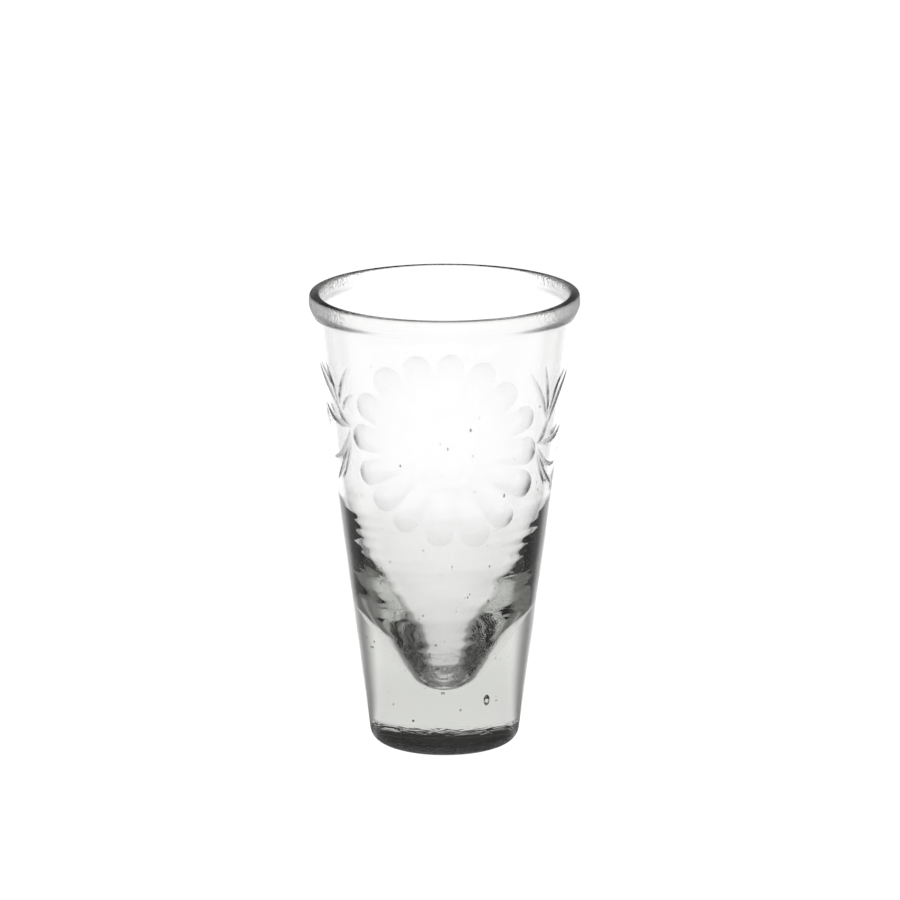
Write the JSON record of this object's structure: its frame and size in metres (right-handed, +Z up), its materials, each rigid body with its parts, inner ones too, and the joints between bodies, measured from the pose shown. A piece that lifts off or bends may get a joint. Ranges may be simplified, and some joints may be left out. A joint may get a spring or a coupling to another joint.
{
  "type": "shot glass",
  "caption": "Tall tapered clear shot glass with a heavy solid base, a fire-polished rim and a ground flower between two leaf sprays on the front.",
  "frame": {"origin": "middle of the foot's flat, on the surface that the glass stands on", "axes": "+Z up along the glass's axis; -Y towards the ground flower, +X to the right seen from the front"},
  "size_m": [0.057, 0.057, 0.0972],
  "materials": {
    "clear_glass": "polished"
  },
  "bodies": {
    "root": {"rim_bead": "clear_glass", "bowl_wall": "clear_glass", "solid_base": "clear_glass"}
  },
  "joints": []
}
